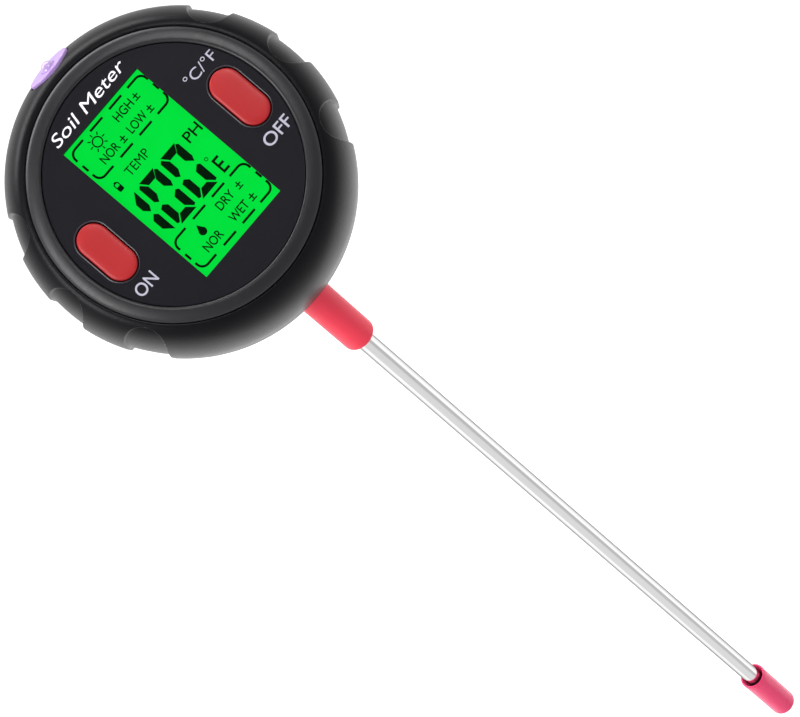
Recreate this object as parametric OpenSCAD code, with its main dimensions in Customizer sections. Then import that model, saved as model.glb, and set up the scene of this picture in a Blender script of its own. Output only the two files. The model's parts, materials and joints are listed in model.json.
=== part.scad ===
// Digital soil meter: a round head with a backlit display, two push buttons and a light
// sensor, hinged on a collared probe that goes upright into the soil.
//
// Row frame, in millimetres: +Z runs up the probe, X is the hinge axis, and the face looks
// towards -Y and up. The origin is on the probe's axis at the soil line.
// Head parts are drawn in the head's own frame and set in place by in_head():
// +z out of the face from the front of the bezel, +y towards the light sensor, x to the right.

/* [Head] */
// Largest diameter of the head
head_d = 65; // [65:0.5:80]
// Depth of the head from the bezel to its back
head_depth = 38.5; // [38:0.5:48]
// Depth below the bezel at which the head is widest
widest_depth = 15; // [12:0.5:17]
// Width of the rounded rim outside the bezel
rim_w = 5.4; // [5:0.1:6]
// Width of the flat bezel ring
bezel_w = 2.95; // [2.5:0.05:3.5]
// Depth of the joint between the front and rear shells
parting_depth = 24; // [22:0.5:25]
// Wall of the shells at the side
case_wall = 2.9; // [2.5:0.1:3]
// Wall of the head's back
back_wall = 2; // [1.6:0.1:2.6]
// Radius of the rounded edge round the back
back_round = 4; // [3:0.5:5]

/* [Grip] */
// Grip notches on each side of the head
notch_count = 3; // [2:1:3]
// Angle between neighbouring notches
notch_pitch = 30; // [26:1:32]
// Width of a notch
notch_w = 8.5; // [7:0.5:9]
// Depth of a notch
notch_depth = 0.7; // [0.5:0.1:0.9]

/* [Face] */
// Drop of the face plate below the bezel
face_drop = 0.6; // [0.4:0.1:0.8]
// Thickness of the face plate
face_t = 1.2; // [1:0.1:1.5]
// Width of the display window
window_w = 20.4; // [17:0.1:21]
// Height of the display window
window_h = 34; // [28:0.5:34]
// Height of the display's centre above the face's centre
display_y = 0.5; // [0:0.1:0.5]

/* [Buttons] */
// Width of a button
button_w = 6.3; // [5:0.1:6.6]
// Length of a button
button_l = 12.7; // [10:0.1:15.5]
// Distance of a button's centre from the face's centre
button_x = 18.5; // [18:0.1:18.8]
// Travel of a button
button_travel = 0.6; // [0.3:0.1:0.7]

/* [Light sensor] */
// Width of the light window
light_w = 10.4; // [8:0.2:11]
// Height of the light window
light_h = 6.4; // [5:0.2:6.8]
// Angle of the light window towards the face
light_angle = 24; // [20:1:28]
// Diameter of the photodiode
diode_d = 3; // [2:0.1:3]

/* [Battery] */
// Length of the battery's block, without its studs
battery_l = 46.4; // [40:0.1:46.4]
// Width of the battery
battery_w = 26.5; // [20:0.1:26.5]
// Thickness of the battery
battery_t = 17.5; // [14:0.1:17.5]

/* [Hinge] */
// Angle by which the probe leans back from the plane of the face
face_tilt = 50; // [0:1:90]
// Diameter of the hinge pin
pin_d = 3; // [2.4:0.1:3.4]
// Diameter of the knuckle's barrel
barrel_d = 8.4; // [7.6:0.1:9]
// Width of the knuckle's barrel
barrel_w = 7.2; // [6.9:0.1:8.6]
// Thickness of each friction washer
washer_t = 0.5; // [0.4:0.1:0.8]
// Thickness of each hinge ear
ear_t = 3.5; // [3:0.1:4]

/* [Probe] */
// Diameter of the probe tube
probe_d = 3.7; // [3.4:0.1:4.2]
// Diameter of the tube's swaged shank inside the collar
shank_d = 3.3; // [3.1:0.1:3.8]
// Wall of the probe tube
tube_wall = 0.4; // [0.3:0.05:0.5]
// Length of the probe from the end of the collar to its point
probe_l = 176; // [140:1:220]
// Depth from the soil line to the probe's point
insert_depth = 125; // [90:1:135]
// Distance from the hinge axis to the end of the collar
collar_end = 25.3; // [24:0.1:34]
// Diameter of the collar at the hinge
collar_d1 = 7; // [6.2:0.1:7]
// Diameter of the collar at its end
collar_d2 = 6.8; // [5.4:0.1:7]
// Length of the bare sensing tip, with its point
tip_l = 10; // [10:0.5:16]

/* [Cap] */
// Length of the tip cap
cap_l = 15.5; // [14:0.5:24]
// Outer diameter of the tip cap at its rim
cap_d = 5.8; // [5.4:0.1:6.6]
// Wall of the tip cap
cap_wall = 0.45; // [0.3:0.05:0.5]

/* [Hidden] */
$fn = 64;
eps = 0.01;

// Clearances
seat_gap = 0.1;      // radial, between the bezel and the shell
plate_gap = 0.05;    // radial, round a plate that is glued in its seat
button_gap = 0.2;    // round a button in its slot
running_gap = 0.05;  // radial, pin in the knuckle
swing_gap = 0.45;    // round the moving collar and barrel
door_gap = 0.15;     // round the battery door
fit_gap = 0.3;       // round the battery and inside the shells

// Radii of the head
head_r = head_d / 2;
bezel_r = head_r - rim_w - seat_gap;
face_r = bezel_r - bezel_w;
lip_r = bezel_r + seat_gap;
case_r = head_r - case_wall;
rim_drop = 1.1;      // the rim starts this far below the bezel
side_draft = 0.3;    // taper of the shell's side down to the parting joint
rim_steps = 20;

// Depths in the head, all negative below the bezel
face_top = -face_drop;
face_base = face_top - face_t;
cover_floor = 1.6;
cover_base = face_base - cover_floor;
seat_z = cover_base - 0.3;
shelf_t = 3;
shelf_base = seat_z - shelf_t;
shelf_r = face_r + 1.2;

// Display stack
glass_t = 1.1;
glass_side = 1.6;    // the glass is this much wider than the window on each side
glass_end = 3;       // and this much longer at each end
ledge_end = 2.2;     // contact ledge of the front glass beyond the rear glass
lcd_w = window_w + 2 * glass_side;
lcd_h = window_h + 2 * glass_end;
lcd_top = face_base - 0.15;
lcd_mid = lcd_top - glass_t;
lcd_base = lcd_mid - glass_t;
holder_wall = 0.7;
pocket_w = lcd_w + 2 * seat_gap;
pocket_h = lcd_h + 2 * seat_gap;
holder_w = pocket_w + 2 * holder_wall;
holder_h = pocket_h + 2 * holder_wall;
backlight_t = 2.8;
zebra_w = 1.8;

// Buttons and switches
button_top = face_top + 0.5;
flange_side = 0.8;
flange_t = 0.8;
flange_top = cover_base - 0.1;
flange_base = flange_top - flange_t;
switch_w = 6;
switch_h = 3.5;
switch_top = flange_base - button_travel - 0.2;
plunger_d = 3.4;
lip_w = 0.8;         // raised lip round each button slot
lip_h = 0.25;

// Circuit board
board_top = switch_top - switch_h;
board_t = 1.2;
board_base = board_top - board_t;
board_r = case_r - 2.2;
board_post_x = board_r - 3.2;
board_post_y = 7.5;
board_screw_d = 1.8;
board_edge_y = board_r - 2.6;   // edge of the cut-out under the photodiode

// Housing screws
boss_r = 3.4;
boss_at = case_r - boss_r + 0.5;
boss_angle = 48;
screw_d = 2.5;
screw_head_d = 4.6;
screw_head_t = 1.8;
screw_seat = -(parting_depth + 4);
screw_tip = -parting_depth + 11;

// Light sensor, on the rim above the face
light_t = 1.2;
light_floor = 1.2;
light_y = head_r - 1.6;
light_z = -4.9;
diode_flange_t = 0.9;
diode_flange_d = diode_d + 0.8;
diode_rear = light_t + light_floor + plate_gap + diode_flange_t;   // below the window's face

// Battery bay
door_t = back_wall;
pad_t = 1.2;
battery_base = -head_depth + door_t + pad_t + 0.2;
battery_top = battery_base + battery_t;
battery_x = -1.2;    // the block sits off centre to make room for the snap connector
stud_h = 2.1;
stud_y = 6.35;
snap_w = 20.6;
snap_h = 11;
snap_t = 1.8;
bay_wall = 1.2;
bay_left = battery_x - battery_l / 2 - fit_gap;
bay_right = battery_x + battery_l / 2 + stud_h + snap_t + 0.5;
bay_half_w = battery_w / 2 + 0.6;
bay_top = battery_top + fit_gap;
door_l = battery_l + stud_h + 0.8;
door_w = battery_w + 1.1;
door_corner = 2;

// Hinge, in the head's frame
hinge_y = -(case_r - 5.1);
hinge_z = -(head_depth - 9.5);
slot_half = barrel_w / 2 + washer_t + 0.1;
ear_x = slot_half + ear_t;
pocket_wall = 1.4;
barrel_room = barrel_d / 2 + swing_gap;
collar_room = collar_d1 / 2 + swing_gap;
washer_d = 7;
pin_head_d = 5.2;
pin_head_t = 1;

// Probe, measured down from the hinge axis
neck_d = 5.2;
neck_end = 11;
collar_start = barrel_d / 2 + 0.9;
tube_start = 5.6;
bore_start = 4;
tube_id = probe_d - 2 * tube_wall;
point_l = 4.5;
insulator_l = 3.5;
probe_point = collar_end + probe_l;
tip_start = probe_point - tip_l;
insulator_start = tip_start - insulator_l;
insulator_d = probe_d - 0.4;
cap_end_wall = 1.6;
cap_end = probe_point + cap_end_wall + 0.4;
cap_rim = cap_end - cap_l;
hinge_height = probe_point - insert_depth;

// ---- Shared shapes ----------------------------------------------------------------------

// Sets head parts in the row frame, with the hinge axis on the probe's axis.
module in_head() {
    translate([0, 0, hinge_height])
        rotate([90 - face_tilt, 0, 0])
            translate([0, -hinge_y, -hinge_z])
                children();
}

// The light sensor's own frame: z out of the window.
module at_light() {
    translate([0, light_y, light_z])
        rotate([light_angle - 90, 0, 0])
            children();
}

// Upright cylinder between two heights.
module post(d, low, high) {
    translate([0, 0, low])
        cylinder(d = d, h = high - low);
}

// Upright tube between two heights.
module sleeve(outer_d, inner_d, low, high) {
    difference() {
        post(outer_d, low, high);
        post(inner_d, low - 1, high + 1);
    }
}

// Box centred on x and y between two heights.
module slab(size_x, size_y, low, high) {
    translate([-size_x / 2, -size_y / 2, low])
        cube([size_x, size_y, high - low]);
}

// Round-ended block along y between two heights.
module capsule(w, l, low, high) {
    slab(w, l - w, low, high);
    for (side = [-1, 1])
        translate([0, side * (l - w) / 2, 0])
            post(w, low, high);
}

// Box with rounded upright edges, centred on x and y.
module rounded_slab(size_x, size_y, corner, low, high) {
    slab(size_x - 2 * corner, size_y, low, high);
    slab(size_x, size_y - 2 * corner, low, high);
    for (x = [-1, 1], y = [-1, 1])
        translate([x * (size_x / 2 - corner), y * (size_y / 2 - corner), 0])
            post(2 * corner, low, high);
}

// Wire along a list of points, with round elbows.
module wire(points, d) {
    for (i = [0 : len(points) - 2]) {
        run = points[i + 1] - points[i];
        length = norm(run);
        translate(points[i])
            rotate([0, acos(run.z / length), atan2(run.y, run.x)])
                cylinder(d = d, h = length, $fn = 24);
    }
    for (i = [1 : len(points) - 2])
        translate(points[i])
            sphere(d = d, $fn = 24);
}

// Pan-head screw pointing up, with its seat at z = 0 and a cross recess underneath.
module screw(d, head_d, head_t, length) {
    difference() {
        post(head_d, -head_t, 0);
        for (turn = [0, 90])
            rotate(turn)
                slab(head_d * 0.62, head_d * 0.14, -head_t - 1, -head_t * 0.45);
    }
    post(d, 0, length - d);
    translate([0, 0, length - d])
        cylinder(d1 = d, d2 = d * 0.3, h = d);
}

module at_bosses() {
    for (x = [-1, 1], y = [-1, 1])
        translate([x * boss_at * cos(boss_angle), y * boss_at * sin(boss_angle), 0])
            children();
}

module at_board_posts() {
    for (x = [-1, 1], y = [-1, 1])
        translate([x * board_post_x, y * board_post_y, 0])
            children();
}

module at_buttons(side) {
    translate([side * button_x, 0, 0])
        children();
}

// ---- Front of the head ------------------------------------------------------------------

// A point of the rim's quarter ellipse, from the lip (0) to the widest place (90).
function rim_point(t, inset) = [
    lip_r + (head_r - lip_r - inset) * sin(t),
    -widest_depth + (widest_depth - rim_drop - inset) * cos(t)
];

// Solid inside the rim's surface, down to the parting joint.
module rim_solid(inset) {
    rotate_extrude()
        polygon(concat(
            [[0, -parting_depth], [head_r - side_draft - inset, -parting_depth]],
            [for (i = [rim_steps : -1 : 0]) rim_point(90 * i / rim_steps, inset)],
            [[0, -rim_drop - inset]]
        ));
}

// Footprints of the grip notches, open to the outside.
module notch_footprints() {
    first = -notch_pitch * (notch_count - 1) / 2;
    for (side = [0, 180], i = [0 : notch_count - 1])
        rotate(side + first + i * notch_pitch)
            translate([lip_r + 1.1 + notch_w / 2, 0, 0]) {
                post(notch_w, -parting_depth - 1, 1);
                translate([0, -notch_w / 2, -parting_depth - 1])
                    cube([rim_w + notch_w, notch_w, parting_depth + 2]);
            }
}

// Outline of the light window: two arcs that meet at softened ends.
module light_shape(grow, low, high) {
    half_w = light_w / 2;
    half_h = light_h / 2;
    arc_r = (half_w * half_w + half_h * half_h) / (2 * half_h);
    intersection() {
        translate([0, arc_r - half_h, 0])
            post(2 * (arc_r + grow), low, high);
        translate([0, half_h - arc_r, 0])
            post(2 * (arc_r + grow), low, high);
        post(light_w - 0.5 + 2 * grow, low, high);
    }
}

module grip_shell() {
    color([0.09, 0.09, 0.1])
        difference() {
            union() {
                difference() {
                    union() {
                        rim_solid(notch_depth);
                        difference() {
                            rim_solid(0);
                            notch_footprints();
                        }
                    }
                    post(2 * case_r, -parting_depth - 1, shelf_base);
                    post(2 * shelf_r, shelf_base - 1, 1);
                    post(2 * lip_r, seat_z, 1);
                }
                at_bosses()
                    post(2 * boss_r, -parting_depth, shelf_base + eps);
                at_board_posts()
                    post(4, board_top, shelf_base + eps);
                intersection() {
                    rim_solid(notch_depth);
                    at_light()
                        post(light_w + 2.4, -light_t - light_floor, -0.3);
                }
            }
            post(2 * lip_r, seat_z, 1);
            post(2 * shelf_r, shelf_base - 1, 1);
            at_light() {
                light_shape(plate_gap, -light_t, 6);
                post(diode_d + 2 * plate_gap, -light_t - light_floor - 1, 1);
                post(diode_flange_d + 2 * seat_gap, -diode_rear - 5, -light_t - light_floor);
            }
            at_bosses()
                post(screw_d - 0.2, -parting_depth - 1, screw_tip + 1);
            at_board_posts()
                post(board_screw_d - 0.2, board_top - 1, board_top + 4.5);
        }
}

module front_cover() {
    edge = 0.5;
    color([0.13, 0.13, 0.14])
        difference() {
            rotate_extrude()
                polygon([
                    [0, seat_z], [bezel_r, seat_z], [bezel_r, -edge], [bezel_r - edge, 0],
                    [face_r + 0.3, 0], [face_r + plate_gap, -0.25], [face_r + plate_gap, face_base],
                    [0, face_base]
                ]);
            post(2 * (face_r - 0.8), seat_z - 1, cover_base);
            translate([0, display_y, 0]) {
                slab(lcd_w + 2 * fit_gap, lcd_h + 2 * fit_gap, seat_z - 1, 1);
                slab(holder_w + 2 * fit_gap, holder_h + 2 * fit_gap, seat_z - 1, cover_base);
            }
            for (side = [-1, 1])
                at_buttons(side)
                    capsule(button_w + 2 * button_gap, button_l + 2 * button_gap, seat_z - 1, 1);
        }
}

module face_plate() {
    chamfer = 0.2;
    slot_w = button_w + 2 * button_gap;
    slot_l = button_l + 2 * button_gap;
    color([0.12, 0.12, 0.14])
        difference() {
            union() {
                rotate_extrude()
                    polygon([
                        [0, face_base], [face_r, face_base], [face_r, face_top - chamfer],
                        [face_r - chamfer, face_top], [0, face_top]
                    ]);
                for (side = [-1, 1])
                    at_buttons(side)
                        capsule(slot_w + 2 * lip_w, slot_l + 2 * lip_w, face_top - eps, face_top + lip_h);
            }
            translate([0, display_y, 0])
                slab(window_w, window_h, face_base - 1, 1);
            for (side = [-1, 1])
                at_buttons(side)
                    capsule(slot_w, slot_l, face_base - 1, 1);
        }
}

module display_window() {
    color([0.85, 0.95, 0.9, 0.3])
        translate([0, display_y, 0])
            slab(window_w - 2 * plate_gap, window_h - 2 * plate_gap, face_base, face_top - seat_gap);
}

module lcd_panel() {
    color([0.1, 0.85, 0.25])
        translate([0, display_y, 0]) {
            slab(lcd_w, lcd_h, lcd_mid, lcd_top);
            slab(lcd_w, lcd_h - 2 * ledge_end, lcd_base, lcd_mid);
        }
}

module lcd_holder() {
    frame_h = lcd_h - 2 * ledge_end;
    color([0.92, 0.92, 0.9])
        translate([0, display_y, 0]) {
            difference() {
                slab(holder_w, holder_h, board_top, cover_base - 0.1);
                slab(pocket_w, pocket_h, board_top - 1, 1);
            }
            difference() {
                slab(pocket_w + 2 * eps, frame_h, board_top, lcd_base - plate_gap);
                slab(pocket_w - 2 * holder_wall - 0.8, frame_h - 1.2, board_top - 1, 1);
            }
        }
}

module backlight_panel() {
    color([0.55, 0.95, 0.6])
        translate([0, display_y, 0])
            slab(lcd_w - 2.4, lcd_h - 2 * ledge_end - 1.4, lcd_base - 0.1 - backlight_t, lcd_base - 0.1);
}

module zebra_strips() {
    color([0.25, 0.25, 0.28])
        translate([0, display_y, 0])
            for (side = [-1, 1])
                translate([0, side * (lcd_h / 2 - zebra_w / 2 - seat_gap), 0])
                    slab(lcd_w - 2, zebra_w, board_top, lcd_mid);
}

// ---- Buttons and switches ---------------------------------------------------------------

module button(side) {
    crown = 0.3;
    color([0.78, 0.1, 0.12])
        at_buttons(side) {
            capsule(button_w, button_l, flange_top - eps, button_top - crown);
            capsule(button_w - crown, button_l - crown, button_top - crown - eps, button_top);
            capsule(button_w + 2 * flange_side, button_l + 2 * flange_side, flange_base, flange_top);
        }
}

module on_button() button(-1);
module off_button() button(1);

module switch_plunger(side) {
    color([0.9, 0.9, 0.85])
        at_buttons(side)
            post(plunger_d, switch_top - 1.4, flange_base);
}

module on_switch_plunger() switch_plunger(-1);
module off_switch_plunger() switch_plunger(1);

module switch_body(side) {
    color([0.16, 0.16, 0.18])
        at_buttons(side)
            difference() {
                slab(switch_w, switch_w, board_top, switch_top);
                post(plunger_d + 0.2, switch_top - 1.5 - button_travel, switch_top + 1);
            }
}

module on_switch_body() switch_body(-1);
module off_switch_body() switch_body(1);

// ---- Electronics ------------------------------------------------------------------------

module main_board() {
    color([0.1, 0.4, 0.22])
        difference() {
            post(2 * board_r, board_base, board_top);
            at_bosses()
                post(2 * (boss_r + fit_gap), board_base - 1, board_top + 1);
            at_board_posts()
                post(board_screw_d + 0.3, board_base - 1, board_top + 1);
            translate([-light_w / 2, board_edge_y, board_base - 1])
                cube([light_w, board_r, board_t + 2]);
        }
}

// Square chip under the board, with a row of legs on two sides.
module controller_chip() {
    chip_w = 9;
    chip_t = 1.6;
    leg_pitch = 1.27;
    color([0.08, 0.08, 0.09])
        translate([0, 4, 0]) {
            slab(chip_w, chip_w, board_base - chip_t, board_base);
            for (side = [-1, 1], i = [-2.5 : 2.5])
                translate([side * (chip_w / 2 + 0.6), i * leg_pitch, 0])
                    slab(1.4, 0.5, board_base - 0.4, board_base);
        }
}

// Small parts under the board: two capacitors, a crystal and a row of chip resistors.
module board_components() {
    color([0.6, 0.55, 0.4]) {
        for (x = [-13, 13])
            translate([x, -8, 0])
                post(5, board_base - 3.2, board_base);
        translate([0, -6, 0])
            capsule(3.6, 8, board_base - 2.4, board_base);
        for (i = [-3 : 3])
            translate([i * 3.2, 13.5, 0])
                slab(1.2, 2, board_base - 0.6, board_base);
    }
}

module board_screws() {
    color([0.7, 0.7, 0.72])
        at_board_posts()
            translate([0, 0, board_base])
                screw(board_screw_d, 3.6, 1.2, board_t + 4);
}

module light_window() {
    color([0.78, 0.65, 0.88])
        at_light()
            difference() {
                light_shape(0, -light_t + plate_gap, 0);
                post(diode_d + 2 * plate_gap, -light_t - 1, 1);
            }
}

// Photodiode with a domed lens, a rear flange and two legs to the board's edge.
module photodiode() {
    diode_r = diode_d / 2;
    leg_z = board_base + board_t / 2;
    rear_y = light_y - diode_rear * cos(light_angle);
    rear_z = light_z - diode_rear * sin(light_angle);
    color([0.86, 0.78, 0.95]) {
        at_light()
            rotate_extrude()
                polygon(concat(
                    [[0, -diode_rear], [diode_flange_d / 2, -diode_rear],
                     [diode_flange_d / 2, -diode_rear + diode_flange_t],
                     [diode_r, -diode_rear + diode_flange_t]],
                    [for (a = [0 : 15 : 90]) [diode_r * cos(a), -0.2 + diode_r * sin(a)]]
                ));
        for (x = [-0.8, 0.8])
            wire([[x, rear_y, rear_z + 0.4], [x, rear_y, leg_z],
                  [x, board_edge_y + plate_gap, leg_z]], 0.5);
    }
}

// ---- Rear of the head -------------------------------------------------------------------

// Solid inside the rear shell's surface, with a rounded edge round the back.
module rear_solid() {
    top_r = head_r - side_draft - notch_depth;
    low_r = top_r - 0.6;
    rotate_extrude()
        polygon(concat(
            [[0, -parting_depth], [0, -head_depth]],
            [for (a = [-90 : 10 : 0])
                [low_r - back_round * (1 - cos(a)), -head_depth + back_round * (1 + sin(a))]],
            [[top_r, -parting_depth]]
        ));
}

// Room for the battery, and with grow for the walls round it.
module bay_room(grow, low, high) {
    translate([(bay_left + bay_right) / 2, 0, 0])
        slab(bay_right - bay_left + 2 * grow, 2 * (bay_half_w + grow), low, high);
}

// Places along the hinge axis: x upright becomes the row's x.
module on_hinge_axis() {
    translate([0, hinge_y, hinge_z])
        rotate([0, 90, 0])
            children();
}

// Room in which the knuckle turns and the collar swings from straight down to straight back.
module hinge_room() {
    reach = 20;
    on_hinge_axis()
        post(2 * barrel_room, -slot_half, slot_half);
    translate([-slot_half, hinge_y - reach, hinge_z - reach])
        cube([2 * slot_half, reach + collar_room, reach + collar_room]);
}

module hinge_block() {
    front = hinge_z + barrel_room + pocket_wall;
    top = hinge_y + barrel_room + pocket_wall;
    intersection() {
        translate([-ear_x, -head_r, -head_depth])
            cube([2 * ear_x, head_r + top, head_depth + front]);
        union() {
            rear_solid();
            post(2 * (case_r - fit_gap), -parting_depth - eps, front);
        }
    }
}

module door_shape(grow, low, high) {
    rounded_slab(door_l + 2 * grow, door_w + 2 * grow, door_corner, low, high);
}

module rear_housing() {
    color([0.1, 0.1, 0.11])
        difference() {
            union() {
                difference() {
                    rear_solid();
                    post(2 * case_r, -head_depth + back_wall, 1);
                }
                intersection() {
                    bay_room(bay_wall, -head_depth + back_wall - eps, bay_top + bay_wall);
                    post(2 * (case_r - fit_gap), -head_depth, 0);
                }
                hinge_block();
                at_bosses()
                    post(2 * boss_r, -head_depth + back_wall - eps, -parting_depth);
            }
            intersection() {
                bay_room(0, -head_depth + back_wall, bay_top);
                post(2 * (case_r - fit_gap - bay_wall), -head_depth, 0);
            }
            door_shape(door_gap, -head_depth - 1, -head_depth + back_wall + 1);
            hinge_room();
            on_hinge_axis()
                post(pin_d, -ear_x - 1, ear_x + 1);
            at_bosses() {
                post(screw_head_d + 0.6, -head_depth - 1, screw_seat);
                post(screw_d + 0.4, screw_seat - 1, 0);
            }
            // Gap for the battery leads in the roof of the bay, and one for the probe's leads.
            translate([bay_right - 2, 0, 0])
                slab(4, 9, bay_top - 1, bay_top + bay_wall + 1);
            translate([0, hinge_y + barrel_room + pocket_wall, hinge_z + 1.5])
                rotate([90, 0, 0])
                    cylinder(d = 2, h = 3, center = true);
        }
}

module housing_screws() {
    color([0.7, 0.7, 0.72])
        at_bosses()
            translate([0, 0, screw_seat])
                screw(screw_d, screw_head_d, screw_head_t, screw_tip - screw_seat);
}

module battery() {
    corner = 2.2;
    end_x = battery_x + battery_l / 2;
    mid_z = battery_base + battery_t / 2;
    color([0.75, 0.6, 0.25]) {
        translate([battery_x, 0, mid_z])
            rotate([90, 0, 90])
                rounded_slab(battery_w, battery_t, corner, -battery_l / 2, battery_l / 2);
        translate([end_x - eps, stud_y, mid_z])
            rotate([0, 90, 0])
                cylinder(d = 5.6, h = stud_h);
        translate([end_x - eps, -stud_y, mid_z])
            rotate([0, 90, 0])
                sleeve(7, 5.4, 0, stud_h);
    }
}

// Snap connector over the battery's two studs.
module battery_snap() {
    end_x = battery_x + battery_l / 2 + 0.15;
    plate_x = battery_x + battery_l / 2 + stud_h + 0.05;
    mid_z = battery_base + battery_t / 2;
    color([0.1, 0.1, 0.1]) {
        translate([plate_x, -snap_w / 2, mid_z - snap_h / 2])
            cube([snap_t, snap_w, snap_h]);
        translate([end_x, stud_y, mid_z])
            rotate([0, 90, 0])
                sleeve(7.4, 5.7, 0, plate_x - end_x + eps);
        translate([end_x, -stud_y, mid_z])
            rotate([0, 90, 0])
                sleeve(8, 7.1, 0, plate_x - end_x + eps);
    }
}

// Battery lead from the snap's edge, through the bay's roof, to the board.
module battery_lead(y) {
    lead_d = 1.2;
    x = battery_x + battery_l / 2 + stud_h + 0.05 + snap_t / 2;
    snap_top = battery_base + battery_t / 2 + snap_h / 2;
    turn_z = board_base - 3;
    wire([[x, y, snap_top], [x, y, turn_z], [x - 4, y, turn_z], [x - 4, y, board_base]], lead_d);
}

module battery_lead_red() color([0.8, 0.1, 0.1]) battery_lead(2.5);
module battery_lead_black() color([0.05, 0.05, 0.05]) battery_lead(-2.5);

module battery_door() {
    rib_t = 1;
    rib_h = 1;
    color([0.1, 0.1, 0.11])
        difference() {
            union() {
                intersection() {
                    rear_solid();
                    door_shape(0, -head_depth, -head_depth + door_t);
                }
                difference() {
                    door_shape(-1, -head_depth + door_t - eps, -head_depth + door_t + rib_h);
                    rounded_slab(door_l - 2 - 2 * rib_t, door_w - 2 - 2 * rib_t, door_corner,
                        -head_depth, 0);
                }
            }
            // Finger recess by the latch end, with its grip ribs left standing.
            for (i = [0 : 3])
                translate([door_l / 2 - 5 - i * 2, 0, 0])
                    slab(1, 12, -head_depth - 1, -head_depth + 0.6);
        }
}

module door_pad() {
    color([0.2, 0.2, 0.2])
        slab(36, 10, -head_depth + door_t, -head_depth + door_t + pad_t);
}

// ---- Hinge ------------------------------------------------------------------------------

module hinge_pin() {
    color([0.72, 0.72, 0.74])
        on_hinge_axis() {
            post(pin_d, -ear_x - eps, ear_x + 0.6);
            post(pin_head_d, -ear_x - pin_head_t, -ear_x);
        }
}

module pin_clip() {
    color([0.3, 0.3, 0.32])
        on_hinge_axis()
            sleeve(pin_head_d, pin_d + 0.02, ear_x + 0.02, ear_x + 0.5);
}

module hinge_washers() {
    color([0.8, 0.8, 0.78])
        on_hinge_axis()
            for (side = [-1, 1])
                translate([0, 0, side * (slot_half - washer_t / 2 - 0.04)])
                    sleeve(washer_d, pin_d + 0.1, -washer_t / 2, washer_t / 2);
}

// Leads from the hinge pocket's hole to the board.
module head_leads() {
    y = hinge_y + barrel_room + pocket_wall;
    z = hinge_z + 1.5;
    color([0.85, 0.8, 0.3])
        for (x = [-0.45, 0.45])
            wire([[x, y - 1.4, z], [x, y + 0.9, z], [x, y + 0.9, board_base]], 0.8);
}

// ---- Probe, drawn along -Z from the hinge axis -------------------------------------------

// Sets probe parts in the row frame: z = 0 on the hinge axis.
module on_probe() {
    translate([0, 0, hinge_height])
        children();
}

module hinge_knuckle() {
    color([0.1, 0.1, 0.11])
        on_probe()
            difference() {
                union() {
                    rotate([0, 90, 0])
                        post(barrel_d, -barrel_w / 2, barrel_w / 2);
                    post(neck_d, -neck_end, 0);
                }
                rotate([0, 90, 0])
                    post(pin_d + 2 * running_gap, -barrel_w, barrel_w);
                post(shank_d + 2 * plate_gap, -neck_end - 1, -bore_start);
                // Side window through which the leads leave the neck.
                translate([0, 0, -bore_start - 0.9])
                    rotate([-90, 0, 0])
                        post(1.4, 0, neck_d);
            }
}

module collar() {
    end_round = 0.6;
    taper = (collar_d1 - collar_d2) / 2;
    color([0.95, 0.2, 0.3])
        on_probe()
            difference() {
                rotate_extrude()
                    polygon(concat(
                        [[0, -collar_start], [0, -collar_end]],
                        [for (a = [-90 : 15 : 0])
                            [collar_d2 / 2 - end_round * (1 - cos(a)),
                             -collar_end + end_round * (1 + sin(a))]],
                        [[collar_d2 / 2 + taper, -collar_start]]
                    ));
                post(neck_d + 2 * plate_gap, -neck_end - plate_gap, 0);
                post(shank_d + 2 * plate_gap, -collar_end - 1, 0);
            }
}

// The shank is swaged down where the knuckle and the collar hold it.
module probe_tube() {
    color([0.8, 0.8, 0.82])
        on_probe() {
            sleeve(probe_d, tube_id, -insulator_start, -collar_end);
            sleeve(shank_d, tube_id, -collar_end - eps, -tube_start);
        }
}

module tip_insulator() {
    spigot = 3;
    color([0.15, 0.15, 0.15])
        on_probe()
            difference() {
                union() {
                    post(insulator_d, -tip_start, -insulator_start);
                    post(tube_id - 2 * plate_gap, -insulator_start, -insulator_start + spigot);
                }
                post(tube_id - 0.8, -tip_start - 1, -insulator_start + spigot + 1);
            }
}

module sensing_tip() {
    color([0.7, 0.7, 0.66])
        on_probe()
            difference() {
                union() {
                    post(probe_d, -probe_point + point_l, -tip_start);
                    translate([0, 0, -probe_point])
                        cylinder(d1 = 0.6, d2 = probe_d, h = point_l);
                }
                post(tube_id - 0.8, -probe_point + point_l + 1.5, -tip_start + 1);
            }
}

module thermistor() {
    bead = -tip_start - 3;
    color([0.2, 0.2, 0.22])
        on_probe() {
            translate([0, 0, bead])
                sphere(d = 1.6, $fn = 32);
            post(1.6, bead, bead + 2);
        }
}

module probe_leads() {
    color([0.85, 0.8, 0.3])
        on_probe()
            for (x = [-0.4, 0.4])
                translate([x, 0, 0])
                    post(0.6, -tip_start - 1, -tube_start + 0.8);
}

// Soft slip-on cap: loose at its rim, and snug over the sensing tip.
module tip_cap() {
    end_round = 1;
    end_r = cap_d / 2 - 0.1;
    rim_r = cap_d / 2 - cap_wall;
    snug_r = probe_d / 2 + plate_gap;
    color([0.96, 0.3, 0.5])
        on_probe()
            difference() {
                rotate_extrude()
                    polygon(concat(
                        [[0, -cap_rim], [0, -cap_end]],
                        [for (a = [-90 : 15 : 0])
                            [end_r - end_round * (1 - cos(a)), -cap_end + end_round * (1 + sin(a))]],
                        [[cap_d / 2, -cap_rim]]
                    ));
                translate([0, 0, -cap_rim - 7])
                    cylinder(r1 = snug_r, r2 = rim_r, h = 7 + eps);
                post(2 * snug_r, -probe_point + point_l - 0.3, -cap_rim - 7 + eps);
                translate([0, 0, -probe_point - 0.3])
                    cylinder(r1 = 0.5, r2 = snug_r, h = point_l + eps);
            }
}

// ---- Assembly ---------------------------------------------------------------------------

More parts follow.
